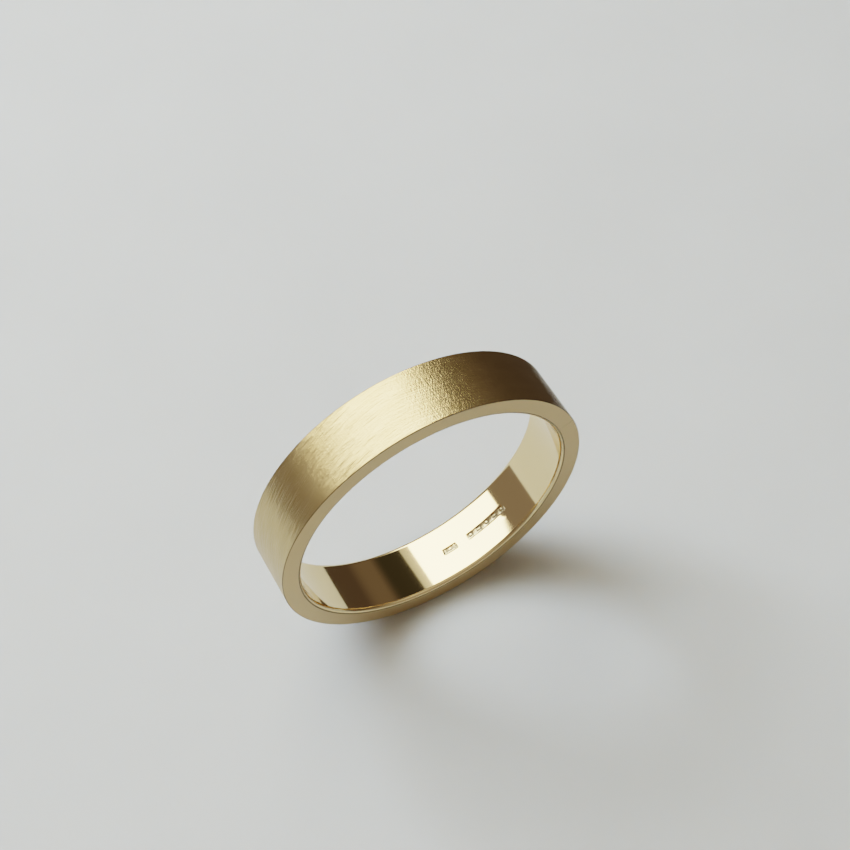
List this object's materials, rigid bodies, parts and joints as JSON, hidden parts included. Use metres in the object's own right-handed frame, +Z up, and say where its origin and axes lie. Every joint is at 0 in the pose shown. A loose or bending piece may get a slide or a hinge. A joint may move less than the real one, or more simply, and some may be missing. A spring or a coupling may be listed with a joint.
{
  "type": "wedding band",
  "caption": "Plain flat wedding band of pale yellow gold, brushed outside and polished inside, with eased inner edges, plain punched marks and a hairline solder seam.",
  "frame": {"origin": "centre of the finger bore, midway across the width of the band", "axes": "+Y along the bore, from the front face to the back face; +Z up as the ring stands on its rim; +X to the right, seen from the front"},
  "size_m": [0.0206, 0.004, 0.0206],
  "materials": {
    "band_gold": "pale yellow gold: brushed outside, satin side faces, polished bore",
    "solder_gold": "gold solder, filed flush and finished with the band around it"
  },
  "bodies": {
    "root": {"band": "band_gold", "solder_seam": "solder_gold"}
  },
  "joints": []
}
